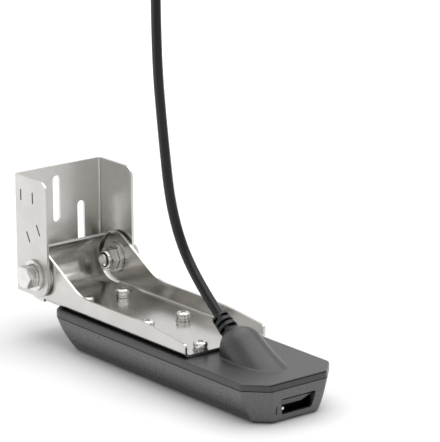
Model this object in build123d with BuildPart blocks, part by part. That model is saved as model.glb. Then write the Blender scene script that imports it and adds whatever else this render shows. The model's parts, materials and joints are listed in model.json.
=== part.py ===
import os
from math import cos, pi, radians, sin, sqrt, tan

from build123d import *

# Transom-mount sonar transducer: a sealed plastic hull hung from a pivoting stainless bracket.
# +X runs aft along the hull, +Y to starboard and +Z up.
# The origin is the centre of the hull's flat bottom. All sizes are in millimetres.

# Hull and cover
hull_length = 260.0
hull_width = 86.0
bottom_width = 64.0
parting_height = 27.0
cover_height = 33.0
side_fullness = 0.66
bow_rake = 17.0
aft_rake = 5.0
aft_cut = 16.5
aft_cut_bottom = 10.7
bow_radius = 14.0
bow_radius_bottom = 8.0
aft_corner_round = 5.0
bottom_round = 5.0
wall = 3.0
floor = 3.0
cover_plate = 3.0
cover_edge = 1.8
groove_height = 0.6
groove_depth = 1.0
lip_depth = 2.5
lip_width = 2.0
fit_gap = 0.2

# Seal between hull and cover
seal_inset = 1.4
seal_width = 1.1
seal_height = 1.0

# Recess in the hull's aft face, with a hood, a temperature probe and a slit beside it
recess_width = 34.0
recess_bottom = 6.3
recess_top = 19.5
recess_depth = 8.0
recess_lean = 3.0
recess_round = 1.6
hood_drop = 6.8
hood_set_back = 1.0
hood_slope = 2.5
hood_end_run = 10.5
hood_end_rise = 4.6
hood_gap = 1.0
hood_gap_depth = 3.0
slit_width = 1.0
slit_height = 7.0
slit_depth = 1.5
slit_offset = 20.0
slit_middle = 10.8
probe_radius = 1.4
probe_set_back = 1.6
probe_flange_radius = 2.6
probe_flange = 1.5
probe_side_inset = 4.6
probe_height = 10.6

# Boss that the cable leaves by
boss_angle = 34.0
boss_aft_inset = 80.0
boss_mouth_height = 47.2
boss_nose_depth = 15.3
boss_nose_radius = 17.4
boss_waist = 27.0
boss_waist_round = 150.0
boss_length = 70.0
boss_aft_radius = 23.4
boss_wall = 4.0
boss_core_depth = 18.0
boss_blend = 1.5

# Transducer elements, their carrier, board and potting
element_bow_inset = 35.0
down_width = 8.0
down_height = 5.0
side_width = 7.0
side_height = 4.0
side_tilt = 25.0
side_offset = 18.5
sonar_radius = 14.0
sonar_height = 5.0
sonar_aft_inset = 48.0
sonar_spacing = 13.0
element_gap = 0.3
carrier_height = 7.0
post_radius = 3.5
post_height = 6.0
post_gap = 6.5
post_offset = 16.0
board_margin = 4.5
board_width = 46.0
board_thickness = 1.6
chip_length = 14.0
chip_width = 10.0
chip_height = 2.0
chip_spacing = 40.0
potting_depth = 3.0

# Cable, its strain relief, seal and connector
cable_diameter = 8.0
cable_gap = 0.1
cable_inside = 8.5
cable_first_run = 45.5
relief_root = 3.5
relief_root_radius = 6.2
relief_base_radius = 8.0
relief_tip_radius = 6.8
relief_core_radius = 5.0
relief_rib_width = 3.8
relief_rib_inset = 0.2
relief_rib_turn = 45.0
relief_bands = (1.6, 3.4, 2.8, 2.5, 2.5, 2.9, 1.8)
seal_length = 4.0
plug_grip = 8.0
plug_tail_radius = 5.8
plug_radius = 8.4
plug_body = 16.0
barrel_radius = 7.2
barrel_bore = 5.9
barrel_length = 18.0
barrel_overlap = 3.0
plug_groove = 0.8
plug_groove_count = 4
pin_radius = 0.6
pin_length = 6.0
pin_circle = 3.2
pin_count = 5

# Sheet for both brackets
sheet = 2.0
bend_outer = 4.0

# Lower bracket, which carries the hull
pad_thickness = 0.6
pad_half_width = 35.0
pad_bow_inset = 8.0
pad_aft_inset = 2.0
bracket_width = 78.0
bracket_boss_gap = 7.6
flange_height = 15.4
flange_aft_height = 10.4
flange_taper = 48.4
flange_taper_round = 300.0
flange_corner = 3.0
ear_slope = 29.4
ear_blend = 40.0
curl_angle = 152.0
curl_half_width = 34.5
fold_relief = 6.0
drain_radius = 1.6
drain_bow_inset = 11.0
drain_y = 30.0

# Screws that hold the lower bracket to the cover
screw_bow_inset = 20.0
screw_aft_inset = 4.9
screw_column_spacing = 67.0
screw_spacing = 35.0
screw_row_center = -3.0
screw_radius = 2.95
screw_hole_radius = 3.3
screw_grip = 8.0
head_radius = 5.8
head_height = 3.6
head_round = 1.5
cross_width = 1.4
cross_length = 6.2
cross_depth = 2.0
washer_radius = 6.0
washer_thickness = 1.6
lock_washer_radius = 5.5
lock_washer_thickness = 1.8
split_width = 1.2
insert_radius = 4.2
insert_length = 10.0
insert_bore = 3.0
insert_boss_radius = 6.5
insert_boss_floor = 1.5

# Pivot
pivot_overhang = 19.5
pivot_height = 55.5
bolt_radius = 5.0
running_gap = 0.05
bolt_hole_gap = 0.25
pivot_washer_radius = 12.5
spacer_radius = 17.0
spacer_thickness = 2.0
pivot_washer = 2.5
pivot_lock_radius = 9.2
pivot_lock_washer = 2.5
hex_flats = 17.0
hex_height = 7.0
hex_chamfer = 1.6
nut_height = 6.8
collar_radius = 7.6
collar_height = 2.8
collar_round = 1.2
nylon_radius = 6.4
nylon_depth = 1.6
bolt_proud = 1.5
bolt_tip_chamfer = 0.8

# Transom bracket
transom_height = 96.5
transom_drop = 17.7
transom_curl_gap = 3.9
transom_front = 17.5
transom_top_round = 8.5
transom_bottom_round = 14.0
slot_width = 7.2
slot_length = 39.0
slot_row_center = -2.3
slot_spacing = 24.0
center_slot_rise = 51.0
side_slot_rise = 26.0
mark_width = 1.7
mark_depth = 0.5
mark_length = 9.6
upright_marks = ((10.3, 63.2), (26.6, 63.5))
slanted_marks = ((19.5, 30.0), (33.6, 38.3))
mark_slant = 118.0

# How far a cut runs past the face that it opens
overrun = 1.0

# Heights and places that follow from the sizes above
bow_face = -hull_length / 2
boss_mouth_x = hull_length / 2 - boss_aft_inset
bracket_aft = boss_mouth_x - bracket_boss_gap
screw_aft = bracket_aft - screw_aft_inset
screw_columns = (bow_face + screw_bow_inset, screw_aft - screw_column_spacing, screw_aft)
pivot_x = bow_face - pivot_overhang
sonar_x = hull_length / 2 - sonar_aft_inset
element_start = bow_face + element_bow_inset
element_length = sonar_x - sonar_radius - sonar_spacing - element_start
element_center = element_start + element_length / 2
cover_underside = cover_height - cover_plate
plate_bottom = cover_height + pad_thickness
plate_top = plate_bottom + sheet
ear_radius = pivot_height - plate_bottom
transom_inner = pivot_x - ear_radius - transom_curl_gap
transom_back = transom_inner - sheet
transom_reach = pivot_x + transom_front - transom_back
transom_bottom = pivot_height - transom_drop
transom_top = transom_bottom + transom_height
flange_top = plate_bottom + flange_height
fold_start = pivot_x + fold_relief
lock_washer_seat = plate_top + washer_thickness
head_seat = lock_washer_seat + lock_washer_thickness
insert_bottom = cover_height - insert_length
carrier_top = floor + carrier_height
board_height = carrier_top + post_height
post_reach = element_length / 2 + post_gap
bracket_half = bracket_width / 2
probe_offset = recess_width / 2 - probe_side_inset
transom_half = bracket_half + spacer_thickness + sheet
bracket_hole_points = [
    (x, screw_row_center + side * screw_spacing / 2) for x in screw_columns for side in (-1, 1)
]
aft_face = hull_length / 2 - aft_rake / 2
recess_back = aft_face - recess_depth
carrier_stop = recess_back - wall - probe_flange - element_gap

os.makedirs("parts", exist_ok=True)


def save(piece, name):
    piece.part.label = name
    export_step(piece.part, f"parts/{name}.step")


def hull_level(height, inset=0.0, drawn_at=None):
    # Outline of the hull at one height: cut corners aft, rounded corners at the bow
    plane_height = height if drawn_at is None else drawn_at
    share = min(height / parting_height, 1.0) ** side_fullness
    half = bottom_width / 2 + share * (hull_width - bottom_width) / 2 - inset
    bow = -hull_length / 2 + (1 - share) * bow_rake + inset
    aft = hull_length / 2 - (1 - share) * aft_rake - inset
    cut = aft_cut_bottom + share * (aft_cut - aft_cut_bottom) - inset * (2 - sqrt(2))
    corner = bow_radius_bottom + share * (bow_radius - bow_radius_bottom) - inset
    with BuildSketch(Plane.XY.offset(plane_height)) as level:
        with BuildLine():
            Polyline(
                (bow, half),
                (bow, -half),
                (aft - cut, -half),
                (aft, cut - half),
                (aft, half - cut),
                (aft - cut, half),
                close=True,
            )
        make_face()
        fillet(level.vertices().group_by(Axis.X)[0], corner)
        if aft_corner_round > inset:
            fillet(level.vertices().sort_by(Axis.X)[-4:], aft_corner_round - inset)
    return level.sketch


def hull_solid(low, high, inset=0.0):
    # The hull's form between two heights, full in the side
    with BuildPart() as form:
        loft([hull_level(height, inset) for height in (low, (low + high) / 2, high)])
    return form.part


def band(outer_inset, inner_inset, low, high, height=parting_height):
    # A rim that follows the hull's outline at a height
    with BuildPart() as rim:
        extrude(hull_level(height, outer_inset, low), amount=high - low)
        extrude(hull_level(height, inner_inset, low), amount=high - low, mode=Mode.SUBTRACT)
    return rim.part


# Hood: a sloping panel over the upper part of the recess, cut off aslant to starboard
hood_front = aft_face - hood_set_back
hood_low = recess_top - hood_drop
with BuildPart() as hood:
    with BuildSketch(Plane.XZ):
        Polygon(
            (recess_back - overrun, recess_top + overrun),
            (hood_front, recess_top + overrun),
            (hood_front, recess_top),
            (hood_front - hood_slope, hood_low),
            (recess_back - overrun, hood_low),
            align=None,
        )
    extrude(amount=recess_width / 2, both=True)
    with BuildSketch(Plane.YZ):
        Polygon(
            (-recess_width / 2, recess_top + overrun),
            (recess_width / 2, recess_top + overrun),
            (recess_width / 2, hood_low + hood_end_rise),
            (recess_width / 2 - hood_end_run, hood_low),
            (-recess_width / 2, hood_low),
            align=None,
        )
    extrude(amount=hull_length, mode=Mode.INTERSECT)
    # A narrow gap parts the hood from the recess's upper lip.
    with BuildSketch(Plane.XZ):
        with Locations((hood_front, recess_top)):
            Rectangle(hood_gap_depth, hood_gap, align=(Align.MAX, Align.MAX))
    extrude(amount=recess_width / 2, both=True, mode=Mode.SUBTRACT)

# Hull shell: a moulded cup with a recess in its aft face
with BuildPart() as hull_shell:
    add(hull_solid(0, parting_height))
    fillet(hull_shell.faces().sort_by(Axis.Z)[0].edges(), bottom_round)
    add(hull_solid(floor, parting_height, wall), mode=Mode.SUBTRACT)
    # A pocket wall stands behind the recess.
    with BuildSketch(Plane.XY.offset(floor)):
        with Locations((recess_back - wall, 0)):
            Rectangle(
                hull_length / 2 - aft_rake - recess_back + wall,
                recess_width + 2 * wall,
                align=(Align.MIN, Align.CENTER),
            )
    extrude(amount=recess_top + wall - floor)
    with BuildSketch(Plane.YZ.offset(recess_back)) as recess:
        Polygon(
            (recess_lean - recess_width / 2, recess_bottom),
            (recess_width / 2 - recess_lean, recess_bottom),
            (recess_width / 2, recess_top),
            (-recess_width / 2, recess_top),
            align=None,
        )
        fillet(recess.vertices(), recess_round)
    extrude(amount=2 * recess_depth, mode=Mode.SUBTRACT)
    add(hood.part)
    with BuildSketch(Plane.YZ.offset(aft_face - slit_depth)):
        with Locations((-slit_offset, slit_middle)):
            Rectangle(slit_width, slit_height)
    extrude(amount=2 * recess_depth, mode=Mode.SUBTRACT)
    with BuildSketch(Plane.YZ.offset(recess_back - wall)):
        with Locations((-probe_offset, probe_height)):
            Circle(probe_radius)
    extrude(amount=wall, mode=Mode.SUBTRACT)
    add(band(seal_inset, seal_inset + seal_width, parting_height - seal_height, parting_height),
        mode=Mode.SUBTRACT)
save(hull_shell, "hull_shell")

# Seal: a ring that fills the groove in the hull's rim
with BuildPart() as cover_seal:
    add(band(seal_inset, seal_inset + seal_width, parting_height - seal_height, parting_height))
save(cover_seal, "cover_seal")

# Temperature probe: a headed stainless pin through the back of the recess
with BuildPart() as temperature_probe:
    with BuildSketch(Plane.YZ.offset(recess_back - wall - probe_flange)):
        with Locations((-probe_offset, probe_height)):
            Circle(probe_flange_radius)
    extrude(amount=probe_flange)
    with BuildSketch(Plane.YZ.offset(recess_back - wall)):
        with Locations((-probe_offset, probe_height)):
            Circle(probe_radius)
    extrude(amount=wall + recess_depth - probe_set_back)
    fillet(temperature_probe.faces().sort_by(Axis.X)[-1].edges(), probe_radius / 2)
save(temperature_probe, "temperature_probe")

# The cable's axis where it leaves the cover: local X points down into the hull, local Y up and aft.
boss_plane = Plane(
    origin=(boss_mouth_x, 0, boss_mouth_height),
    x_dir=(cos(radians(boss_angle)), 0, -sin(radians(boss_angle))),
    z_dir=(0, -1, 0),
)
boss_axis = Axis(boss_plane.origin, boss_plane.x_dir)

# Boss: a round-nosed horn turned about the cable's axis, kept above the cover's underside
boss_mouth_radius = sqrt(boss_nose_radius**2 - boss_nose_depth**2)
with BuildPart() as boss:
    with BuildSketch(boss_plane) as horn:
        with BuildLine():
            Polyline(
                (0, boss_mouth_radius),
                (0, 0),
                (boss_length, 0),
                (boss_length, boss_aft_radius),
                (boss_waist, boss_nose_radius),
                (boss_nose_depth, boss_nose_radius),
            )
            RadiusArc((boss_nose_depth, boss_nose_radius), (0, boss_mouth_radius), -boss_nose_radius)
        make_face()
        fillet(
            horn.vertices().sort_by_distance((boss_waist, boss_nose_radius))[0], boss_waist_round
        )
    revolve(axis=boss_axis)
    split(bisect_by=Plane.XY.offset(cover_underside), keep=Keep.TOP)

# Core of the boss, open to the inside of the hull
with BuildPart() as boss_core:
    with BuildSketch(boss_plane):
        Polygon(
            (boss_core_depth, 0),
            (boss_length, 0),
            (boss_length, boss_aft_radius - boss_wall),
            (boss_waist, boss_nose_radius - boss_wall),
            (boss_core_depth, boss_nose_radius - boss_wall),
            align=None,
        )
    revolve(axis=boss_axis)

# Cover: a shallow lid with the cable's boss on it and bosses for the brass inserts under it
with BuildPart() as top_cover:
    extrude(hull_level(parting_height), amount=cover_height - parting_height)
    fillet(top_cover.faces().sort_by(Axis.Z)[-1].edges(), cover_edge)
    extrude(
        hull_level(parting_height, wall),
        amount=cover_underside - parting_height,
        mode=Mode.SUBTRACT,
    )
    add(boss.part)
    foot = top_cover.edges().filter_by_position(Axis.Z, cover_height - 0.01, cover_height + 0.01)
    fillet(foot.filter_by(GeomType.LINE, reverse=True).filter_by_position(
        Axis.X, 0, hull_length), boss_blend)
    add(boss_core.part, mode=Mode.SUBTRACT)
    with BuildSketch(boss_plane):
        Rectangle(relief_root + seal_length, relief_root_radius, align=(Align.MIN, Align.MIN))
        Rectangle(boss_core_depth, cable_diameter / 2 + cable_gap, align=(Align.MIN, Align.MIN))
    revolve(axis=boss_axis, mode=Mode.SUBTRACT)
    # The rim stands back above the joint, which leaves the dark line round the hull.
    add(band(0, groove_depth, parting_height, parting_height + groove_height), mode=Mode.SUBTRACT)
    # A lip drops inside the hull's wall.
    add(band(wall + fit_gap, wall + fit_gap + lip_width, parting_height - lip_depth,
             cover_underside, parting_height - lip_depth))
    with BuildSketch(Plane.XY.offset(insert_bottom - insert_boss_floor)):
        with Locations(*bracket_hole_points):
            Circle(insert_boss_radius)
    extrude(amount=cover_underside - insert_bottom + insert_boss_floor)
    with BuildSketch(Plane.XY.offset(insert_bottom)):
        with Locations(*bracket_hole_points):
            Circle(insert_radius)
    extrude(amount=insert_length, mode=Mode.SUBTRACT)
save(top_cover, "top_cover")

# Brass inserts moulded into the cover for the bracket screws
with BuildPart() as bracket_inserts:
    with BuildSketch(Plane.XY.offset(insert_bottom)):
        with Locations(*bracket_hole_points):
            Circle(insert_radius)
            Circle(insert_bore, mode=Mode.SUBTRACT)
    extrude(amount=insert_length)
save(bracket_inserts, "bracket_inserts")

# Down-looking element: one long ceramic bar on the hull's floor
with BuildPart() as down_element:
    with BuildSketch(Plane.XY.offset(floor)):
        with Locations((element_center, 0)):
            Rectangle(element_length, down_width)
    extrude(amount=down_height)
save(down_element, "down_element")

# Side-looking elements: two bars tilted outwards, each standing on its lower edge
side_lift = side_width / 2 * sin(radians(side_tilt)) + side_height / 2 * cos(radians(side_tilt))


def side_place(side):
    return Location((element_center, side * side_offset, floor + side_lift), (side * side_tilt, 0, 0))


for side, name in ((-1, "side_element_port"), (1, "side_element_starboard")):
    with BuildPart() as side_element:
        with Locations(side_place(side)):
            Box(element_length, side_width, side_height)
    save(side_element, name)

# Sonar element: a ceramic disc aft of the bars
with BuildPart() as sonar_element:
    with BuildSketch(Plane.XY.offset(floor)):
        with Locations((sonar_x, 0)):
            Circle(sonar_radius)
    extrude(amount=sonar_height)
save(sonar_element, "sonar_element")

# Carrier: a moulded plate with a slot for each element and posts for the board
post_points = [
    (element_center + end * post_reach, side * post_offset) for end in (-1, 1) for side in (-1, 1)
]
with BuildPart() as element_carrier:
    extrude(hull_level(floor, wall + element_gap), amount=carrier_height)
    with BuildSketch(Plane.XY.offset(floor)):
        with Locations((carrier_stop, 0)):
            Rectangle(hull_length, hull_width, align=(Align.MIN, Align.CENTER))
        with Locations((element_center, 0)):
            Rectangle(element_length + 2 * element_gap, down_width + 2 * element_gap)
        with Locations((sonar_x, 0)):
            Circle(sonar_radius + element_gap)
    extrude(amount=carrier_height, mode=Mode.SUBTRACT)
    with Locations(side_place(-1), side_place(1)):
        Box(
            element_length + 2 * element_gap,
            side_width + 2 * element_gap,
            4 * carrier_height,
            mode=Mode.SUBTRACT,
        )
    with BuildSketch(Plane.XY.offset(carrier_top)):
        with Locations(*post_points):
            Circle(post_radius)
    extrude(amount=post_height)
save(element_carrier, "element_carrier")

# Potting: a layer of resin poured over the carrier
with BuildPart() as potting:
    extrude(hull_level(carrier_top, wall + fit_gap), amount=potting_depth)
    with BuildSketch(Plane.XY.offset(carrier_top)):
        with Locations((carrier_stop, 0)):
            Rectangle(hull_length, hull_width, align=(Align.MIN, Align.CENTER))
        with Locations(*post_points):
            Circle(post_radius)
    extrude(amount=potting_depth, mode=Mode.SUBTRACT)
save(potting, "potting")

# Circuit board on the carrier's posts, with its larger chips
with BuildPart() as circuit_board:
    with BuildSketch(Plane.XY.offset(board_height)):
        with Locations((element_center, 0)):
            Rectangle(2 * (post_reach + board_margin), board_width)
    extrude(amount=board_thickness)
    with BuildSketch(Plane.XY.offset(board_height + board_thickness)):
        with Locations((element_center, 0)):
            with GridLocations(chip_spacing, 0, 3, 1):
                Rectangle(chip_length, chip_width)
    extrude(amount=chip_height)
save(circuit_board, "circuit_board")

# Strain relief: a rubber sleeve with a root in the boss and two rows of windows between rings
relief_length = sum(relief_bands)
with BuildPart() as strain_relief:
    with BuildSketch(boss_plane):
        Polygon(
            (0, cable_diameter / 2 + cable_gap),
            (0, relief_base_radius),
            (-relief_length, relief_tip_radius),
            (-relief_length, cable_diameter / 2 + cable_gap),
            align=None,
        )
        with Locations((0, cable_diameter / 2 + cable_gap)):
            Rectangle(
                relief_root,
                relief_root_radius - cable_diameter / 2 - cable_gap,
                align=(Align.MIN, Align.MIN),
            )
    revolve(axis=boss_axis)
    band_starts = [sum(relief_bands[:index]) for index in range(len(relief_bands))]
    with BuildSketch(boss_plane):
        for index in (1, 3, 5):
            with Locations((-band_starts[index], relief_core_radius)):
                Rectangle(
                    relief_bands[index], relief_base_radius, align=(Align.MAX, Align.MIN)
                )
    revolve(axis=boss_axis, mode=Mode.SUBTRACT)
    # Four ribs bridge each row of windows.
    for index in (1, 5):
        window_plane = Plane(
            origin=boss_plane.from_local_coords((-band_starts[index], 0, 0)),
            x_dir=(0, 1, 0),
            z_dir=-boss_plane.x_dir,
        )
        with BuildSketch(window_plane):
            with PolarLocations(0, 2, start_angle=relief_rib_turn, angular_range=180):
                Rectangle(2 * (relief_tip_radius - relief_rib_inset), relief_rib_width)
            Circle(relief_core_radius - relief_rib_inset, mode=Mode.SUBTRACT)
        extrude(amount=relief_bands[index])
save(strain_relief, "strain_relief")

# Cable seal: a rubber ring behind the strain relief's root
with BuildPart() as cable_seal:
    with BuildSketch(boss_plane):
        with Locations((relief_root, cable_diameter / 2 + cable_gap)):
            Rectangle(
                seal_length,
                relief_root_radius - cable_diameter / 2 - cable_gap,
                align=(Align.MIN, Align.MIN),
            )
    revolve(axis=boss_axis)
save(cable_seal, "cable_seal")

# Cable: straight runs joined by tangent arcs, rising from the boss
cable_start = boss_plane.from_local_coords((cable_inside, 0, 0))
first_bend = boss_plane.from_local_coords((-cable_first_run, 0, 0))
cable_points = [
    (cable_start.X, 0, cable_start.Z),
    (first_bend.X, 0, first_bend.Z),
    (-23.0, 0, 119.0),
    (-34.5, 0, 190.0),
    (-41.5, 0, 252.0),
    (-40.9, 0, 308.0),
]


def bend_radius(before, corner, after):
    # The largest arc that the two runs at a corner leave room for
    run_in = Vector(corner) - Vector(before)
    run_out = Vector(after) - Vector(corner)
    turn = radians(run_in.get_angle(run_out))
    return 0.45 * min(run_in.length, run_out.length) / tan(turn / 2)


bend_radii = [bend_radius(*cable_points[i:i + 3]) for i in range(len(cable_points) - 2)]
with BuildPart() as cable:
    with BuildLine():
        path = FilletPolyline(*cable_points, radius=bend_radii)
    with BuildSketch(Plane(origin=cable_points[0], z_dir=path % 0)):
        Circle(cable_diameter / 2)
    sweep(path=path)
save(cable, "cable")
print("cable bend radii", [round(radius, 1) for radius in bend_radii])
tube_volume = pi * (cable_diameter / 2) ** 2 * path.length
print("cable volume over section times length", round(cable.part.volume / tube_volume, 5))

# Connector: an overmoulded body with grip grooves, its metal barrel and the pins inside
plug_plane = Plane(
    origin=cable_points[-1],
    x_dir=(0, 1, 0),
    z_dir=Vector(cable_points[-1]) - Vector(cable_points[-2]),
)
plug_axis = Axis(plug_plane.origin, plug_plane.z_dir)
plug_section = Plane(origin=plug_plane.origin, x_dir=(0, 1, 0), z_dir=-plug_plane.y_dir)
with BuildPart() as connector_body:
    with BuildSketch(plug_section):
        Polygon(
            (cable_diameter / 2 + cable_gap, -plug_grip),
            (plug_tail_radius, -plug_grip),
            (plug_radius - 1, -1),
            (plug_radius, 0),
            (plug_radius, plug_body),
            (barrel_bore, plug_body),
            (barrel_bore, plug_body + barrel_overlap),
            (0, plug_body + barrel_overlap),
            (0, 0),
            (cable_diameter / 2 + cable_gap, 0),
            align=None,
        )
        with Locations((plug_radius, plug_body / 2)):
            with GridLocations(0, plug_body / (plug_groove_count + 1), 1, plug_groove_count):
                Rectangle(2 * plug_groove, plug_groove, mode=Mode.SUBTRACT)
    revolve(axis=plug_axis)
save(connector_body, "connector_body")

with BuildPart() as connector_barrel:
    with BuildSketch(plug_section):
        with Locations((barrel_bore, plug_body)):
            Rectangle(barrel_radius - barrel_bore, barrel_length, align=(Align.MIN, Align.MIN))
    revolve(axis=plug_axis)
    chamfer(connector_barrel.faces().sort_by(Axis.Z)[-1].edges().sort_by(SortBy.RADIUS)[-1], 0.6)
save(connector_barrel, "connector_barrel")

with BuildPart() as connector_pins:
    with BuildSketch(plug_plane.offset(plug_body + barrel_overlap)):
        with PolarLocations(pin_circle, pin_count):
            Circle(pin_radius)
    extrude(amount=pin_length)
save(connector_pins, "connector_pins")

# Lower bracket: a folded channel with round ears, its bow end rolled up about the pivot
ear_tangent = (
    pivot_x + ear_radius * sin(radians(ear_slope)),
    pivot_height + ear_radius * cos(radians(ear_slope)),
)
slope_foot = (
    ear_tangent[0] + (ear_tangent[1] - flange_top) / tan(radians(ear_slope)),
    flange_top,
)
with BuildPart() as transducer_bracket:
    with BuildSketch(Plane.YZ.offset(fold_start)) as channel:
        with Locations((0, plate_bottom)):
            Rectangle(bracket_width, 4 * ear_radius, align=(Align.CENTER, Align.MIN))
        fillet(channel.vertices().group_by(Axis.Y)[0], bend_outer)
        offset(amount=-sheet, mode=Mode.SUBTRACT)
    extrude(amount=bracket_aft - fold_start)
    # The ears lie flat where the fold ends.
    with BuildSketch(Plane.YZ.offset(pivot_x - ear_radius)):
        with Locations((0, plate_bottom)):
            Rectangle(bracket_width, 4 * ear_radius, align=(Align.CENTER, Align.MIN))
            Rectangle(
                bracket_width - 2 * sheet,
                4 * ear_radius,
                align=(Align.CENTER, Align.MIN),
                mode=Mode.SUBTRACT,
            )
    extrude(amount=ear_radius + fold_relief)
    with BuildSketch(Plane.XZ) as side_outline:
        with BuildLine():
            Polyline((bracket_aft, plate_bottom + flange_aft_height), (bracket_aft, plate_bottom),
                     (pivot_x, plate_bottom))
            ear = CenterArc((pivot_x, pivot_height), ear_radius, 270, -180 - ear_slope)
            Polyline(ear @ 1, slope_foot, (bracket_aft - flange_taper, flange_top),
                     (bracket_aft, plate_bottom + flange_aft_height))
        make_face()
        fillet(side_outline.vertices().sort_by_distance(slope_foot)[0], ear_blend)
        fillet(
            side_outline.vertices().sort_by_distance((bracket_aft - flange_taper, flange_top))[0],
            flange_taper_round,
        )
        fillet(
            side_outline.vertices()
            .sort_by_distance((bracket_aft, plate_bottom + flange_aft_height))[0],
            flange_corner,
        )
    extrude(amount=bracket_width, both=True, mode=Mode.INTERSECT)
    # The plate's end, rolled up between the ears
    with BuildSketch(Plane.XZ):
        with BuildLine():
            outer = CenterArc((pivot_x, pivot_height), ear_radius, 270, -curl_angle)
            inner = CenterArc((pivot_x, pivot_height), ear_radius - sheet, 270, -curl_angle)
            Line(outer @ 0, inner @ 0)
            Line(outer @ 1, inner @ 1)
        make_face()
        with Locations((pivot_x, plate_bottom)):
            Rectangle(fold_relief, sheet, align=(Align.MIN, Align.MIN))
    extrude(amount=curl_half_width, both=True)
    with BuildSketch(Plane.XZ):
        with Locations((pivot_x, pivot_height)):
            Circle(bolt_radius + running_gap)
    extrude(amount=bracket_width, both=True, mode=Mode.SUBTRACT)
    with BuildSketch(Plane.XY.offset(plate_bottom)):
        with Locations(*bracket_hole_points):
            Circle(screw_hole_radius)
        with Locations((bow_face + drain_bow_inset, drain_y)):
            Circle(drain_radius)
    extrude(amount=sheet, mode=Mode.SUBTRACT)
save(transducer_bracket, "transducer_bracket")

# Pad between the cover and the lower bracket
with BuildPart() as bracket_pad:
    with BuildSketch(Plane.XY.offset(cover_height)):
        with Locations((bow_face + pad_bow_inset, 0)):
            Rectangle(
                bracket_aft - pad_aft_inset - bow_face - pad_bow_inset,
                2 * pad_half_width,
                align=(Align.MIN, Align.CENTER),
            )
        with Locations(*bracket_hole_points):
            Circle(screw_hole_radius, mode=Mode.SUBTRACT)
    extrude(amount=pad_thickness)
save(bracket_pad, "bracket_pad")


def screw_rings(bottom, outer, inner, thickness, split=0.0):
    # A ring at each bracket screw, cut through where it is a split washer
    with BuildPart() as rings:
        with BuildSketch(Plane.XY.offset(bottom)):
            with Locations(*bracket_hole_points):
                Circle(outer)
                Circle(inner, mode=Mode.SUBTRACT)
            if split:
                with Locations(*[(x, y - (outer + inner) / 2) for x, y in bracket_hole_points]):
                    Rectangle(split, outer - inner + overrun, mode=Mode.SUBTRACT)
        extrude(amount=thickness)
    return rings


save(screw_rings(plate_top, washer_radius, screw_hole_radius, washer_thickness), "screw_washers")
save(
    screw_rings(
        lock_washer_seat, lock_washer_radius, screw_hole_radius, lock_washer_thickness, split_width
    ),
    "screw_lock_washers",
)

# Pan-head screw with a cross recess, drawn with its head's seat on XY
with BuildPart() as screw:
    with BuildSketch():
        Circle(head_radius)
    extrude(amount=head_height)
    fillet(screw.faces().sort_by(Axis.Z)[-1].edges(), head_round)
    with BuildSketch(Plane.XY.offset(head_height - cross_depth)):
        Rectangle(cross_length, cross_width)
        Rectangle(cross_width, cross_length)
    extrude(amount=cross_depth, mode=Mode.SUBTRACT)
    with BuildSketch():
        Circle(screw_radius)
    extrude(amount=-(head_seat - cover_height + screw_grip))

with BuildPart() as bracket_screws:
    with Locations(*[(x, y, head_seat) for x, y in bracket_hole_points]):
        add(screw.part)
save(bracket_screws, "bracket_screws")

# Transom bracket: a folded channel, open aft, with three slots for the transom's screws
with BuildPart() as transom_bracket:
    with BuildSketch(Plane.XY.offset(transom_bottom)) as plan:
        with Locations((transom_back, 0)):
            Rectangle(2 * transom_reach, 2 * transom_half, align=(Align.MIN, Align.CENTER))
        fillet(plan.vertices().group_by(Axis.X)[0], bend_outer)
        offset(amount=-sheet, mode=Mode.SUBTRACT)
    extrude(amount=transom_top - transom_bottom)
    with BuildSketch(Plane.XZ) as transom_side:
        with Locations((transom_back, transom_bottom)):
            Rectangle(
                transom_reach, transom_top - transom_bottom, align=(Align.MIN, Align.MIN)
            )
        front_corners = transom_side.vertices().group_by(Axis.X)[-1].sort_by(Axis.Y)
        fillet(front_corners[0], transom_bottom_round)
        front_corners = transom_side.vertices().group_by(Axis.X)[-1].sort_by(Axis.Y)
        fillet(front_corners[-1], transom_top_round)
    extrude(amount=2 * transom_half, both=True, mode=Mode.INTERSECT)
    with BuildSketch(Plane.YZ.offset(transom_back)):
        with Locations((slot_row_center, pivot_height + center_slot_rise)):
            SlotOverall(slot_length, slot_width, rotation=90)
        with Locations(
            (slot_row_center - slot_spacing, pivot_height + side_slot_rise),
            (slot_row_center + slot_spacing, pivot_height + side_slot_rise),
        ):
            SlotOverall(slot_length, slot_width, rotation=90)
    extrude(amount=sheet, mode=Mode.SUBTRACT)
    with BuildSketch(Plane.XZ):
        with Locations((pivot_x, pivot_height)):
            Circle(bolt_radius + bolt_hole_gap)
    extrude(amount=2 * transom_half, both=True, mode=Mode.SUBTRACT)
    # Index marks for setting the angle, stamped into the outside of both flanges
    for side in (-1, 1):
        with BuildSketch(Plane.XZ.offset(-side * (transom_half - mark_depth))):
            with Locations(*[(transom_back + x, pivot_height + z) for x, z in upright_marks]):
                SlotOverall(mark_length, mark_width, rotation=90)
            with Locations(*[(transom_back + x, pivot_height + z) for x, z in slanted_marks]):
                SlotOverall(mark_length, mark_width, rotation=mark_slant)
        extrude(amount=-side * mark_depth, mode=Mode.SUBTRACT)
save(transom_bracket, "transom_bracket")


def pivot_plane(side, reach, facing=1):
    # A plane across the pivot, looking away from the bracket's middle, or back towards it
    return Plane(origin=(pivot_x, side * reach, pivot_height), x_dir=(1, 0, 0), z_dir=(0, side * facing, 0))


def pivot_rings(start, outer, thickness, split=0.0):
    # A ring on the bolt at each side, cut through where it is a split washer
    inner = bolt_radius + bolt_hole_gap
    with BuildPart() as rings:
        for side in (-1, 1):
            with BuildSketch(pivot_plane(side, start)):
                Circle(outer)
                Circle(inner, mode=Mode.SUBTRACT)
                if split:
                    with Locations((0, (outer + inner) / 2)):
                        Rectangle(split, outer - inner + overrun, mode=Mode.SUBTRACT)
            extrude(amount=thickness)
    return rings


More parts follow.
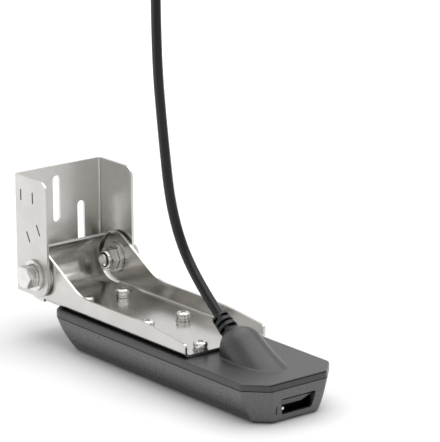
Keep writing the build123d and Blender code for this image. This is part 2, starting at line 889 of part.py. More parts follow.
# Rings along each bolt, from the ear outwards and from the ear inwards
ear_inner = bracket_half - sheet
head_lock_start = transom_half + pivot_washer
head_start = head_lock_start + pivot_lock_washer
nut_start = ear_inner - pivot_washer
nut_end = nut_start - nut_height - collar_height
bolt_end = nut_end - bolt_proud
save(
    pivot_rings(bracket_half, spacer_radius, spacer_thickness),
    "spacer_washers",
)
save(pivot_rings(transom_half, pivot_washer_radius, pivot_washer), "head_washers")
save(
    pivot_rings(head_lock_start, pivot_lock_radius, pivot_lock_washer, split_width),
    "head_lock_washers",
)
save(pivot_rings(nut_start, pivot_washer_radius, pivot_washer), "nut_washers")


def hexagon(height):
    # A hexagon on XY with corners along X, its upper corners turned off to a cone
    corner = hex_flats / 2 / cos(radians(30))
    with BuildPart() as form:
        with BuildSketch():
            RegularPolygon(corner, 6)
        extrude(amount=height)
        with BuildSketch(Plane.XZ):
            Polygon(
                (0, 0),
                (corner, 0),
                (corner, height - hex_chamfer / 2),
                (corner - hex_chamfer, height),
                (0, height),
                align=None,
            )
        revolve(axis=Axis.Z, mode=Mode.INTERSECT)
    return form.part


# Pivot bolts: hexagon heads outside, tips inside
with BuildPart() as pivot_bolts:
    for side in (-1, 1):
        with Locations(pivot_plane(side, head_start)):
            add(hexagon(hex_height))
        with BuildSketch(pivot_plane(side, head_start, -1)):
            Circle(bolt_radius)
        extrude(amount=head_start - bolt_end)
    tips = pivot_bolts.edges().filter_by(GeomType.CIRCLE).filter_by_position(
        Axis.Y, -bolt_end - 0.01, bolt_end + 0.01
    )
    chamfer(tips, bolt_tip_chamfer)
save(pivot_bolts, "pivot_bolts")

# Lock nut: a hexagon with a round collar, drawn on XY
with BuildPart() as lock_nut:
    add(hexagon(nut_height))
    with BuildSketch(Plane.XY.offset(nut_height)):
        Circle(collar_radius)
    extrude(amount=collar_height)
    fillet(lock_nut.faces().sort_by(Axis.Z)[-1].edges(), collar_round)
    with BuildSketch():
        Circle(bolt_radius + running_gap)
    extrude(amount=nut_height + collar_height, mode=Mode.SUBTRACT)
    with BuildSketch(Plane.XY.offset(nut_height + collar_height - nylon_depth)):
        Circle(nylon_radius)
    extrude(amount=nylon_depth, mode=Mode.SUBTRACT)

with BuildPart() as lock_nuts:
    for side in (-1, 1):
        with Locations(pivot_plane(side, nut_start, -1)):
            add(lock_nut.part)
save(lock_nuts, "lock_nuts")

# Nylon rings pressed into the nuts' collars
with BuildPart() as nut_rings:
    for side in (-1, 1):
        with BuildSketch(pivot_plane(side, nut_end + nylon_depth, -1)):
            Circle(nylon_radius)
            Circle(bolt_radius + running_gap, mode=Mode.SUBTRACT)
        extrude(amount=nylon_depth)
save(nut_rings, "nut_rings")
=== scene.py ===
import json
from math import cos, pi, radians, sin

import bmesh
import bpy
from mathutils import Matrix, Vector


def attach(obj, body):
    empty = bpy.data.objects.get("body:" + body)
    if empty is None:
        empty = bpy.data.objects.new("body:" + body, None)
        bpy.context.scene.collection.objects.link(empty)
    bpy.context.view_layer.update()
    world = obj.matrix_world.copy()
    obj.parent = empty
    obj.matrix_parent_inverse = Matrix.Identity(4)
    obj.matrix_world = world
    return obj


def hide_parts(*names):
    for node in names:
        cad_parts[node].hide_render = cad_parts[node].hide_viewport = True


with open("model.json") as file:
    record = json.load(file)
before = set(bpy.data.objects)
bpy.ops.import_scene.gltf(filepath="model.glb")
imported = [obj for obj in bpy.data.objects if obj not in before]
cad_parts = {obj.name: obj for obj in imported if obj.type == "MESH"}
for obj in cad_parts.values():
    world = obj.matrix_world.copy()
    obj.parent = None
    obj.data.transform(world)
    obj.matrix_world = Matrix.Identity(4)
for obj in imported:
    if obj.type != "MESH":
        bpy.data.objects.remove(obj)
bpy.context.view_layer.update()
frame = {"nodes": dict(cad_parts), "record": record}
nodes = frame["nodes"]
print("frame loaded:", len(nodes), "parts")

scene = bpy.context.scene
scene.view_settings.view_transform = "Standard"

cameraSettings = {
    "target": (0.03622, 0.0, 0.13289),
    "distance": 2.111,
    "azimuth": 51.79,
    "elevation": 15.63,
    "roll": -0.35,
    "lens": 229.1,
    "sensor": 36.0,
    "farthest": 50.0,
}


def makeCamera(s):
    data = bpy.data.cameras.new("camera")
    data.lens = s["lens"]
    data.sensor_width = s["sensor"]
    data.sensor_fit = "HORIZONTAL"
    data.clip_end = s["farthest"]
    camera = bpy.data.objects.new("camera", data)
    turn = (
        Matrix.Rotation(radians(s["azimuth"]), 3, "Z")
        @ Matrix.Rotation(pi / 2 - radians(s["elevation"]), 3, "X")
        @ Matrix.Rotation(radians(s["roll"]), 3, "Z")
    )
    camera.matrix_world = Matrix.Translation(
        Vector(s["target"]) + turn @ Vector((0, 0, s["distance"]))
    ) @ turn.to_4x4()
    scene.collection.objects.link(camera)
    scene.camera = camera


makeCamera(cameraSettings)
print("camera placed")


def addNode(tree, kind, inputs=None, **settings):
    # a node whose inputs are given as sockets or as values
    made = tree.nodes.new(kind)
    for name, value in settings.items():
        setattr(made, name, value)
    for name, value in (inputs or {}).items():
        if isinstance(value, bpy.types.NodeSocket):
            tree.links.new(value, made.inputs[name])
        else:
            made.inputs[name].default_value = value
    return made


def reckon(tree, operation, *values):
    # one or two numbers put through a Math node
    return addNode(
        tree, "ShaderNodeMath", dict(enumerate(values)), operation=operation
    ).outputs[0]


def times(tree, first, second):
    return reckon(tree, "MULTIPLY", first, second)


def coordinates(tree, kind):
    # X, Y and Z of one of the texture coordinates
    point = addNode(tree, "ShaderNodeTexCoord").outputs[kind]
    return addNode(tree, "ShaderNodeSeparateXYZ", {"Vector": point}).outputs


def grain(tree, scale, stretch=(1, 1, 1), detail=3.0, roughness=0.6):
    # noise on the part's own coordinates
    place = addNode(tree, "ShaderNodeTexCoord").outputs["Object"]
    mapped = addNode(tree, "ShaderNodeMapping", {"Vector": place, "Scale": stretch})
    return addNode(
        tree,
        "ShaderNodeTexNoise",
        {
            "Vector": mapped.outputs["Vector"],
            "Scale": scale,
            "Detail": detail,
            "Roughness": roughness,
        },
    ).outputs["Fac"]


def spread(tree, value, low, high, fromLow=0.3, fromHigh=0.7):
    # a factor mapped to a range of numbers, unless told otherwise from the noise's range
    return addNode(
        tree,
        "ShaderNodeMapRange",
        {"Value": value, "From Min": fromLow, "From Max": fromHigh, "To Min": low, "To Max": high},
    ).outputs["Result"]


def tint(tree, value, low, high, fromLow=0.3, fromHigh=0.7):
    # a factor mapped to a range between two colours
    share = spread(tree, value, 0, 1, fromLow, fromHigh)
    mix = addNode(tree, "ShaderNodeMix", data_type="RGBA")
    tree.links.new(share, mix.inputs["Factor"])
    mix.inputs["A"].default_value = (*low, 1)
    mix.inputs["B"].default_value = (*high, 1)
    return mix.outputs["Result"]


def multiply(tree, color, factor):
    # a colour times a number
    mix = addNode(
        tree, "ShaderNodeMix", data_type="RGBA", blend_type="MULTIPLY", clamp_result=False
    )
    mix.inputs["Factor"].default_value = 1.0
    tree.links.new(color, mix.inputs["A"])
    tree.links.new(factor, mix.inputs["B"])
    return mix.outputs["Result"]


# painted shade: the openness at which a groove is darkest, and at which a surface counts as open
creviceShadeSettings = {"closed": 0.3, "open": 0.8, "samples": 12}


def paintedCreviceShade(tree, reach, paintedShade, s=creviceShadeSettings):
    # painted shade: one on open surfaces, and less in grooves and along seams, where shade falls
    openness = addNode(
        tree, "ShaderNodeAmbientOcclusion", {"Distance": reach}, samples=s["samples"]
    )
    return spread(tree, openness.outputs["AO"], paintedShade, 1.0, s["closed"], s["open"])


def newFinish(name):
    finish = bpy.data.materials.new(name)
    finish.use_nodes = True
    return finish, finish.node_tree.nodes["Principled BSDF"]


def bump(tree, shader, height, depth):
    made = addNode(tree, "ShaderNodeBump", {"Height": height, "Distance": depth, "Strength": 1.0})
    tree.links.new(made.outputs["Normal"], shader.inputs["Normal"])


sheetSettings = {
    "dark": (0.600, 0.586, 0.567),
    "light": (0.642, 0.628, 0.608),
    "lineScale": 1.0,
    "alongLine": 5.0,
    "acrossLine": 4200.0,
    "lineDetail": 4.0,
    "lineRange": (0.2, 0.8),
    "scratchDepth": 0.0000005,
    "patchScale": 26.0,
    "patchShade": (0.93, 1.06),
    "seamReach": 0.0012,
    "paintedSeamShade": 0.12,
}


def sheetSteel(name, plateToo, roughness, s=sheetSettings):
    # brushed sheet: fine lines run level on upright faces, and along X on a level plate
    finish, shader = newFinish(name)
    tree = finish.node_tree
    along, across = s["alongLine"], s["acrossLine"]
    upright = grain(tree, s["lineScale"], (along, along, across), s["lineDetail"])
    lines = upright
    if plateToo:
        level = grain(tree, s["lineScale"], (along, across, along), s["lineDetail"])
        side = reckon(tree, "ABSOLUTE", coordinates(tree, "Normal")["Y"])
        pick = addNode(tree, "ShaderNodeMix", {"Factor": side, "A": level, "B": upright})
        lines = pick.outputs["Result"]
    color = tint(tree, lines, s["dark"], s["light"], *s["lineRange"])
    color = multiply(tree, color, spread(tree, grain(tree, s["patchScale"]), *s["patchShade"]))
    # painted shade along seams and in grooves
    color = multiply(tree, color, paintedCreviceShade(tree, s["seamReach"], s["paintedSeamShade"]))
    tree.links.new(color, shader.inputs["Base Color"])
    tree.links.new(spread(tree, lines, *roughness), shader.inputs["Roughness"])
    shader.inputs["Metallic"].default_value = 1.0
    bump(tree, shader, lines, s["scratchDepth"])
    return finish


turnedSettings = {
    "markScale": 900.0,
    "markDepth": 0.000004,
    "patchScale": 120.0,
    "seamReach": 0.0016,
    "paintedSeamShade": 0.1,
}


def turnedMetal(name, dark, light, roughness, s=turnedSettings):
    finish, shader = newFinish(name)
    tree = finish.node_tree
    marks = grain(tree, s["markScale"])
    color = tint(tree, grain(tree, s["patchScale"]), dark, light)
    # painted shade along seams and in grooves
    color = multiply(tree, color, paintedCreviceShade(tree, s["seamReach"], s["paintedSeamShade"]))
    tree.links.new(color, shader.inputs["Base Color"])
    tree.links.new(spread(tree, marks, *roughness), shader.inputs["Roughness"])
    shader.inputs["Metallic"].default_value = 1.0
    bump(tree, shader, marks, s["markDepth"])
    return finish


plasticSettings = {
    "grainScale": 1500.0,
    "grainDetail": 2.0,
    "grainDepth": 0.00004,
    "patchScale": 60.0,
    "seamReach": 0.004,
    "paintedSeamShade": 0.25,
    "ior": 1.5,
    "shine": 0.5,
}


def mouldedPlastic(name, dark, light, roughness, **changes):
    s = {**plasticSettings, **changes}
    finish, shader = newFinish(name)
    tree = finish.node_tree
    shader.inputs["IOR"].default_value = s["ior"]
    texture = grain(tree, s["grainScale"], detail=s["grainDetail"])
    # painted shade in grooves and along seams, on the colour and on the shine
    openness = paintedCreviceShade(tree, s["seamReach"], s["paintedSeamShade"])
    color = multiply(tree, tint(tree, grain(tree, s["patchScale"]), dark, light), openness)
    tree.links.new(color, shader.inputs["Base Color"])
    tree.links.new(times(tree, openness, s["shine"]), shader.inputs["Specular IOR Level"])
    tree.links.new(spread(tree, texture, *roughness), shader.inputs["Roughness"])
    bump(tree, shader, texture, s["grainDepth"])
    return finish


# each finish's name, whether its level plate is brushed too, and its roughness
sheets = {
    "transom_steel": ("brushedTransomSheet", False, (0.27, 0.33)),
    "bracket_steel": ("brushedBracketSheet", True, (0.17, 0.24)),
}
# each finish's name, dark and light colour, and roughness
metals = {
    "bolt_steel": ("boltSteel", (0.70, 0.69, 0.67), (0.80, 0.79, 0.77), (0.09, 0.15)),
    "screw_steel": ("screwSteel", (0.68, 0.67, 0.65), (0.78, 0.77, 0.75), (0.10, 0.18)),
    "washer_steel": ("washerSteel", (0.66, 0.65, 0.63), (0.76, 0.75, 0.73), (0.12, 0.20)),
    "probe_steel": ("probeSteel", (0.7, 0.69, 0.67), (0.8, 0.79, 0.77), (0.1, 0.2)),
    "brass": ("turnedBrass", (0.62, 0.45, 0.2), (0.75, 0.56, 0.27), (0.2, 0.35)),
    "pins": ("goldPlate", (0.8, 0.6, 0.25), (0.88, 0.7, 0.34), (0.15, 0.25)),
    "plug_metal": ("platedMetal", (0.6, 0.6, 0.6), (0.72, 0.72, 0.72), (0.12, 0.22)),
}
plastics = {
    "hull_plastic": ("hullPlastic", (0.094, 0.095, 0.099), (0.098, 0.099, 0.103), (0.24, 0.32)),
    "cover_plastic": ("coverPlastic", (0.033, 0.034, 0.036), (0.040, 0.041, 0.043), (0.33, 0.41)),
    "seal_rubber": ("sealRubber", (0.008, 0.008, 0.008), (0.014, 0.014, 0.014), (0.6, 0.75)),
    "relief_rubber": ("reliefRubber", (0.006, 0.006, 0.007), (0.011, 0.011, 0.012), (0.34, 0.46)),
    "cable_jacket": ("cableJacket", (0.003, 0.003, 0.004), (0.005, 0.005, 0.006), (0.20, 0.26)),
    "plug_plastic": ("plugPlastic", (0.012, 0.012, 0.013), (0.02, 0.02, 0.021), (0.4, 0.5)),
    "nylon": ("nylonRing", (0.006, 0.006, 0.006), (0.012, 0.012, 0.012), (0.35, 0.5)),
    "carrier_plastic": ("carrierPlastic", (0.02, 0.02, 0.02), (0.035, 0.035, 0.035), (0.45, 0.6)),
    "potting_resin": ("pottingResin", (0.01, 0.01, 0.012), (0.016, 0.016, 0.02), (0.12, 0.2)),
    "ceramic": ("silveredCeramic", (0.5, 0.47, 0.42), (0.6, 0.56, 0.5), (0.3, 0.4)),
    "board": ("boardLaminate", (0.01, 0.08, 0.03), (0.016, 0.11, 0.045), (0.3, 0.42)),
}
plasticChanges = {
    "hull_plastic": {"grainDepth": 0.000012, "ior": 1.6},
    "cover_plastic": {"grainDepth": 0.00002, "ior": 1.6, "seamReach": 0.008},
    "cable_jacket": {"ior": 1.4},
}
finishes = {}
for slot, values in sheets.items():
    finishes[slot] = sheetSteel(*values)
for slot, values in metals.items():
    finishes[slot] = turnedMetal(*values)
for slot, values in plastics.items():
    finishes[slot] = mouldedPlastic(*values, **plasticChanges.get(slot, {}))


def paintShade(tree, kept):
    # painted shade: the colour and the shine times a number
    shader = tree.nodes["Principled BSDF"].inputs
    color, shine = shader["Base Color"], shader["Specular IOR Level"]
    tree.links.new(multiply(tree, color.links[0].from_socket, kept), color)
    tree.links.new(times(tree, shine.links[0].from_socket, kept), shine)


recessSettings = {
    "halfWidth": 0.0174,
    "middle": 0.0129,
    "halfHeight": 0.0068,
    "back": 0.117,
    "mouth": (0.1262, 0.1238),  # the slot turns black between these places
    "hoodEdge": 0.01275,  # the hood's lower edge
    "hoodFace": 0.1237,  # how far back the hood's face reaches
    "gapEdge": 0.0171,  # the shadow gap over the hood starts here
    "gapFront": 0.1266,
    "paintedShade": 0.03,
}


def paintRecessShade(tree, s):
    # painted shade: the deep slot under the hood and the gap over it are painted black, in colour
    # and shine
    place = coordinates(tree, "Object")
    across = reckon(tree, "ABSOLUTE", place["Y"])
    up = reckon(tree, "ABSOLUTE", reckon(tree, "SUBTRACT", place["Z"], s["middle"]))
    inside = times(
        tree,
        reckon(tree, "LESS_THAN", across, s["halfWidth"]),
        reckon(tree, "LESS_THAN", up, s["halfHeight"]),
    )
    inside = times(tree, inside, reckon(tree, "GREATER_THAN", place["X"], s["back"]))
    slot = times(
        tree,
        spread(tree, place["X"], 0, 1, *s["mouth"]),
        reckon(tree, "LESS_THAN", place["Z"], s["hoodEdge"]),
    )
    behind = reckon(tree, "LESS_THAN", place["X"], s["hoodFace"])
    gap = times(
        tree,
        reckon(tree, "GREATER_THAN", place["Z"], s["gapEdge"]),
        reckon(tree, "LESS_THAN", place["X"], s["gapFront"]),
    )
    dark = reckon(tree, "MAXIMUM", reckon(tree, "MAXIMUM", slot, behind), gap)
    paintShade(tree, spread(tree, times(tree, inside, dark), 1.0, s["paintedShade"], 0, 1))


# painted shade: the hull's long sides are painted darker towards the foot, where they reflect the
# floor's shadow
sideSettings = {"heights": (0.006, 0.021), "facing": (0.74, 0.9), "paintedShade": 0.25}


def paintSideShade(tree, s):
    low = spread(tree, coordinates(tree, "Object")["Z"], 1, 0, *s["heights"])
    facing = reckon(tree, "ABSOLUTE", coordinates(tree, "Normal")["Y"])
    low = times(tree, low, spread(tree, facing, 0, 1, *s["facing"]))
    paintShade(tree, spread(tree, low, 1.0, s["paintedShade"], 0, 1))


# painted shade: the lid's rounded edge is painted darker where it turns aft, a painted dark
# reflection
edgeSettings = {
    "top": 0.0329,
    "aft": (0.6, 0.7),
    "tilt": 0.6,
    "tiltReach": (0.36, 0.28),
    "paintedShade": 0.25,
}


def paintEdgeShade(tree, s):
    normal = coordinates(tree, "Normal")
    tilt = reckon(tree, "ABSOLUTE", reckon(tree, "SUBTRACT", normal["Z"], s["tilt"]))
    rounded = times(
        tree,
        spread(tree, tilt, 0, 1, *s["tiltReach"]),
        spread(tree, normal["X"], 0, 1, *s["aft"]),
    )
    below = reckon(tree, "LESS_THAN", coordinates(tree, "Object")["Z"], s["top"])
    paintShade(tree, spread(tree, times(tree, rounded, below), 1.0, s["paintedShade"], 0, 1))


# the index marks' floors lie within the band round this distance from the middle
markSettings = {"floor": 0.0424, "band": 0.0003, "squareness": 0.9, "paintedShade": 0.34}


def paintMarkShade(tree, s):
    # painted shade: the floors of the marks cut into the transom bracket's flanges are painted
    # darker than the sheet
    away = reckon(tree, "ABSOLUTE", coordinates(tree, "Object")["Y"])
    away = reckon(tree, "ABSOLUTE", reckon(tree, "SUBTRACT", away, s["floor"]))
    facing = reckon(tree, "ABSOLUTE", coordinates(tree, "Normal")["Y"])
    cut = times(
        tree,
        reckon(tree, "LESS_THAN", away, s["band"]),
        reckon(tree, "GREATER_THAN", facing, s["squareness"]),
    )
    kept = spread(tree, cut, 1.0, s["paintedShade"], 0, 1)
    color = tree.nodes["Principled BSDF"].inputs["Base Color"]
    tree.links.new(multiply(tree, color.links[0].from_socket, kept), color)


paintRecessShade(finishes["hull_plastic"].node_tree, recessSettings)
paintSideShade(finishes["hull_plastic"].node_tree, sideSettings)
paintEdgeShade(finishes["cover_plastic"].node_tree, edgeSettings)
paintMarkShade(finishes["transom_steel"].node_tree, markSettings)
for part in frame["record"]["subparts"]:
    for slot in nodes[part["node"]].material_slots:
        slot.material = finishes[part["material_slot"]]
print("finishes made")


def newTree(name, inputs):
    tree = bpy.data.node_groups.new(name, "GeometryNodeTree")
    for label, (kind, value) in inputs.items():
        made = tree.interface.new_socket(label, in_out="INPUT", socket_type=kind)
        if value is not None:
            made.default_value = value
    tree.interface.new_socket("Geometry", in_out="OUTPUT", socket_type="NodeSocketGeometry")
    return tree, tree.nodes.new("NodeGroupInput").outputs, tree.nodes.new("NodeGroupOutput")


def endTree(tree, geometry, given, result):
    # real geometry in the given material
    whole = addNode(tree, "GeometryNodeRealizeInstances", {0: geometry})
    finish = addNode(
        tree, "GeometryNodeSetMaterial", {0: whole.outputs[0], "Material": given["Material"]}
    )
    tree.links.new(finish.outputs[0], result.inputs[0])
    return tree


def applyTree(name, base, tree, values):
    # the tree's result as a plain mesh in a new object, with no modifier left
    source = bpy.data.objects.new(name + "Base", base)
    scene.collection.objects.link(source)
    modifier = source.modifiers.new("nodes", "NODES")
    modifier.node_group = tree
    for item in tree.interface.items_tree:
        if item.item_type == "SOCKET" and item.in_out == "INPUT" and item.name in values:
            modifier[item.identifier] = values[item.name]
    graph = bpy.context.evaluated_depsgraph_get()
    graph.update()
    data = bpy.data.meshes.new_from_object(source.evaluated_get(graph), depsgraph=graph)
    data.name = name
    bpy.data.objects.remove(source)
    piece = bpy.data.objects.new(name, data)
    scene.collection.objects.link(piece)
    return piece


def smoothBy(data, angle):
    # smooth faces, with edges sharper than the angle kept
    data.polygons.foreach_set("use_smooth", [True] * len(data.polygons))
    data.set_sharp_from_angle(angle=radians(angle))


# screws that hold the lower bracket, with cross recesses turned each its own way
screwSettings = {
    "headRadius": 0.0058,
    "headHeight": 0.0036,
    # shares of the head's radius and height, from the middle of its top down
    "headOutline": [
        (0, 1),
        (0.42, 0.995),
        (0.66, 0.96),
        (0.84, 0.86),
        (0.95, 0.70),
        (1, 0.50),
        (1, 0.10),
        (0.96, 0),
    ],
    "shankRadius": 0.00295,
    "shankLength": 0.0112,
    "tipRadius": 0.7,  # these two are shares of the shank's radius
    "tipHeight": 0.3,
    "steps": 48,
    "recessLength": 0.0064,
    "recessWidth": 0.0015,
    "recessDepth": 0.0025,
    "recessFoot": 0.45,  # the recess's foot as a share of its mouth
    "recessRise": 0.0004,  # the cutter stands out of the head by this
    "columns": (-0.110, -0.0295, 0.0375),
    "rowCenter": -0.003,
    "rowSpacing": 0.035,
    "seat": 0.039,
    "seed": 7,
    "sharpAngle": 32,
}
columnLabels = ("First Column", "Middle Column", "Last Column")


def latheMesh(name, outline, steps):
    # a closed outline from axis to axis turned round Z
    shape = bmesh.new()
    rings = []
    for radius, height in outline:
        if radius == 0:
            rings.append([shape.verts.new((0, 0, height))])
            continue
        rings.append(
            [
                shape.verts.new(
                    (radius * cos(2 * pi * i / steps), radius * sin(2 * pi * i / steps), height)
                )
                for i in range(steps)
            ]
        )
    for above, below in zip(rings, rings[1:]):
        for i in range(steps):
            j = (i + 1) % steps
            if len(above) == 1:
                shape.faces.new((above[0], below[i], below[j]))
            elif len(below) == 1:
                shape.faces.new((above[i], below[0], above[j]))
            else:
                shape.faces.new((above[i], below[i], below[j], above[j]))
    bmesh.ops.recalc_face_normals(shape, faces=shape.faces)
    data = bpy.data.meshes.new(name)
    shape.to_mesh(data)
    shape.free()
    return data


def taperedBar(name, length, width, foot, top, bottom):
    # a bar that narrows towards its foot
    corners = []
    for share, height in ((1.0, top), (foot, bottom)):
        for x, y in ((-1, -1), (1, -1), (1, 1), (-1, 1)):
            corners.append((x * length / 2 * share, y * width / 2 * share, height))
    data = bpy.data.meshes.new(name)
    data.from_pydata(
        corners,
        [],
        [(0, 1, 2, 3), (7, 6, 5, 4), (0, 4, 5, 1), (1, 5, 6, 2), (2, 6, 7, 3), (3, 7, 4, 0)],
    )
    return data


def screwMesh(s):
    # one screw on Z, with its cross recess cut out of the head
    head, high, shank, long = s["headRadius"], s["headHeight"], s["shankRadius"], s["shankLength"]
    outline = [(head * across, high * up) for across, up in s["headOutline"]]
    outline += [
        (shank, 0),
        (shank, -long + shank * s["tipHeight"]),
        (shank * s["tipRadius"], -long),
        (0, -long),
    ]
    body = bpy.data.objects.new("screwBlank", latheMesh("screwBlank", outline, s["steps"]))
    scene.collection.objects.link(body)
    cutters = []
    for turn in (0, 90):
        bar = taperedBar(
            "recessBar",
            s["recessLength"],
            s["recessWidth"],
            s["recessFoot"],
            high + s["recessRise"],
            high - s["recessDepth"],
        )
        bar.transform(Matrix.Rotation(radians(turn), 4, "Z"))
        cutter = bpy.data.objects.new("recessBar", bar)
        scene.collection.objects.link(cutter)
        cut = body.modifiers.new("recess", "BOOLEAN")
        cut.object = cutter
        cut.solver = "EXACT"
        cutters.append(cutter)
    graph = bpy.context.evaluated_depsgraph_get()
    graph.update()
    data = bpy.data.meshes.new_from_object(body.evaluated_get(graph), depsgraph=graph)
    for made in (body, *cutters):
        bpy.data.objects.remove(made)
    return data


def screwTree():
    # two rows of screws: an even number is in the port row and an odd one in the other
    tree, given, result = newTree(
        "screwPattern",
        {
            "Geometry": ("NodeSocketGeometry", None),
            **{label: ("NodeSocketFloat", 0.0) for label in columnLabels},
            "Row Center": ("NodeSocketFloat", 0.0),
            "Row Spacing": ("NodeSocketFloat", 0.0),
            "Seat": ("NodeSocketFloat", 0.0),
            "Seed": ("NodeSocketInt", 0),
            "Material": ("NodeSocketMaterial", None),
        },
    )
    index = addNode(tree, "GeometryNodeInputIndex").outputs["Index"]
    column = reckon(tree, "FLOOR", reckon(tree, "DIVIDE", index, 2.0))
    side = reckon(tree, "MODULO", index, 2.0)
    pick = addNode(tree, "GeometryNodeIndexSwitch", data_type="FLOAT")
    pick.index_switch_items.new()
    tree.links.new(column, pick.inputs["Index"])
    for item, label in enumerate(columnLabels):
        tree.links.new(given[label], pick.inputs[item + 1])
    offset = times(tree, reckon(tree, "SUBTRACT", side, 0.5), given["Row Spacing"])
    across = reckon(tree, "ADD", offset, given["Row Center"])
    place = addNode(
        tree, "ShaderNodeCombineXYZ", {"X": pick.outputs[0], "Y": across, "Z": given["Seat"]}
    )
    points = addNode(
        tree, "GeometryNodePoints", {"Count": 2 * len(columnLabels), "Position": place.outputs[0]}
    )
    turn = addNode(
        tree, "FunctionNodeRandomValue", {"ID": index, "Seed": given["Seed"]}, data_type="FLOAT"
    )
    # the lowest and the highest turn
    turn.inputs[2].default_value = 0.0
    turn.inputs[3].default_value = pi / 2
    angles = addNode(tree, "ShaderNodeCombineXYZ", {"Z": turn.outputs[1]})
    screws = addNode(
        tree,
        "GeometryNodeInstanceOnPoints",
        {
            "Points": points.outputs[0],
            "Instance": given["Geometry"],
            "Rotation": angles.outputs[0],
        },
    )
    return endTree(tree, screws.outputs[0], given, result)


def makeScrews(s):
    screws = applyTree(
        "bracketScrews",
        screwMesh(s),
        screwTree(),
        {
            **dict(zip(columnLabels, s["columns"])),
            "Row Center": s["rowCenter"],
            "Row Spacing": s["rowSpacing"],
            "Seat": s["seat"],
            "Seed": s["seed"],
            "Material": finishes["screw_steel"],
        },
    )
    smoothBy(screws.data, s["sharpAngle"])
    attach(screws, "transducer")
    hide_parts("bracket_screws")


makeScrews(screwSettings)
print("bracket screws made")

# thread on the pivot bolts' tips, where they stand out of the nuts
threadSettings = {
    "radius": 0.0049,
    "ridge": 0.00042,
    "pitch": 0.0015,
    "turns": 1.0,
    "steps": 48,
    "corners": 4,
    "pivot": (-0.1495, 0.0, 0.0555),
    "start": 0.0238,
}


def threadTree(s):
    # a ridge wound round the pivot's axis, once on each side of the middle
    tree, given, result = newTree(
        "boltThread",
        {
            "Geometry": ("NodeSocketGeometry", None),
            "Radius": ("NodeSocketFloat", 0.0),
            "Ridge": ("NodeSocketFloat", 0.0),
            "Pitch": ("NodeSocketFloat", 0.0),
            "Turns": ("NodeSocketFloat", 0.0),
            "Start": ("NodeSocketFloat", 0.0),
            "Pivot": ("NodeSocketVector", (0, 0, 0)),
            "Material": ("NodeSocketMaterial", None),
        },
    )
    helix = addNode(
        tree,
        "GeometryNodeCurveSpiral",
        {
            "Resolution": s["steps"],
            "Rotations": given["Turns"],
            "Start Radius": given["Radius"],
            "End Radius": given["Radius"],
            "Height": times(tree, given["Pitch"], given["Turns"]),
        },
    )
    ridge = addNode(
        tree,
        "GeometryNodeCurvePrimitiveCircle",
        {"Resolution": s["corners"], "Radius": given["Ridge"]},
    )
    wire = addNode(
        tree,
        "GeometryNodeCurveToMesh",
        {"Curve": helix.outputs[0], "Profile Curve": ridge.outputs[0], "Fill Caps": True},
    )
    joined = addNode(tree, "GeometryNodeJoinGeometry")
    for side in (1, -1):
        start = times(tree, given["Start"], float(side))
        lift = addNode(tree, "ShaderNodeCombineXYZ", {"Y": start}).outputs[0]
        place = addNode(
            tree, "ShaderNodeVectorMath", {0: given["Pivot"], 1: lift}, operation="ADD"
        )
        moved = addNode(
            tree,
            "GeometryNodeTransform",
            {
                "Geometry": wire.outputs[0],
                "Translation": place.outputs[0],
                "Rotation": (-side * pi / 2, 0, 0),
            },
        )
        tree.links.new(moved.outputs[0], joined.inputs[0])
    return endTree(tree, joined.outputs[0], given, result)


def makeThread(s):
    thread = applyTree(
        "boltThread",
        bpy.data.meshes.new("threadBase"),
        threadTree(s),
        {
            "Radius": s["radius"],
            "Ridge": s["ridge"],
            "Pitch": s["pitch"],
            "Turns": s["turns"],
            "Start": s["start"],
            "Pivot": s["pivot"],
            "Material": finishes["bolt_steel"],
        },
    )
    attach(thread, "transom_mount")


makeThread(threadSettings)
print("bolt thread made")

# the lead rises from the sleeve and leaves the picture at the top
cableSettings = {
    "diameter": 0.008,
    "length": 0.301,
    "exit": (0.0500, 0.0, 0.0472),
    "route": [
        (0.05705, 0.0, 0.04245),
        (0.01228, 0.0, 0.07264),
        (-0.0230, 0.0, 0.1190),
        (-0.0345, 0.0, 0.1900),
        (-0.0415, 0.0, 0.2520),
        (-0.0409, 0.0, 0.3080),
    ],
    "order": 3,
    "stepsAlong": 24,
    "stepsRound": 8,
}


def makeCable(s):
    data = bpy.data.curves.new("cableJacket", "CURVE")
    data.dimensions = "3D"
    data.bevel_depth = s["diameter"] / 2
    data.bevel_resolution = s["stepsRound"]
    data.use_fill_caps = True
    data.resolution_u = s["stepsAlong"]
    spline = data.splines.new("NURBS")
    spline.points.add(len(s["route"]) - 1)
    for point, place in zip(spline.points, s["route"]):
        point.co = (*place, 1.0)
    spline.order_u = s["order"]
    spline.use_endpoint_u = True
    data.materials.append(finishes["cable_jacket"])
    cable = bpy.data.objects.new("cableJacket", data)
    scene.collection.objects.link(cable)
    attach(cable, "transducer")
    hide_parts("cable")


makeCable(cableSettings)
print("cable made")

studioSettings = {
    "paperRoughness": 0.9,
    "floorSize": 12.0,
    "floorHeight": -0.0002,
    "floorColor": (0.92, 0.92, 0.92, 1),
    # painted light: the floor's glow, nil by the hull and growing with the distance from it
    "lift": (0.0, 0.12),
    "liftReach": (0.04, 0.2),  # the lift grows between these distances from the hull
    "farLift": 1.0,
    "farReach": (0.5, 1.7),
    "liftShape": (0.5, 1.0, 1.0),  # the distance counts less along the hull
    "cardStart": 0.17,
    "cardSize": 2.4,
    "cardHeight": 0.0003,
    "cardColor": (0.72, 0.72, 0.72, 1),
    "fill": 0.69,  # the world's level where it only lights
    "sweepTop": (0.28, 0.52),  # the white backdrop ends between these heights of a direction
    "roomAbove": 0.68,
    "sweepSide": (-0.1, 0.7),  # and grows darker from the bow's side to the camera's side
    "roomAside": 0.95,
}


def seenRay(tree, rays):
    # one for camera, glossy and transmission rays
    total = rays["Is Camera Ray"]
    for name in ("Is Glossy Ray", "Is Transmission Ray"):
        total = reckon(tree, "MAXIMUM", total, rays[name])
    return total


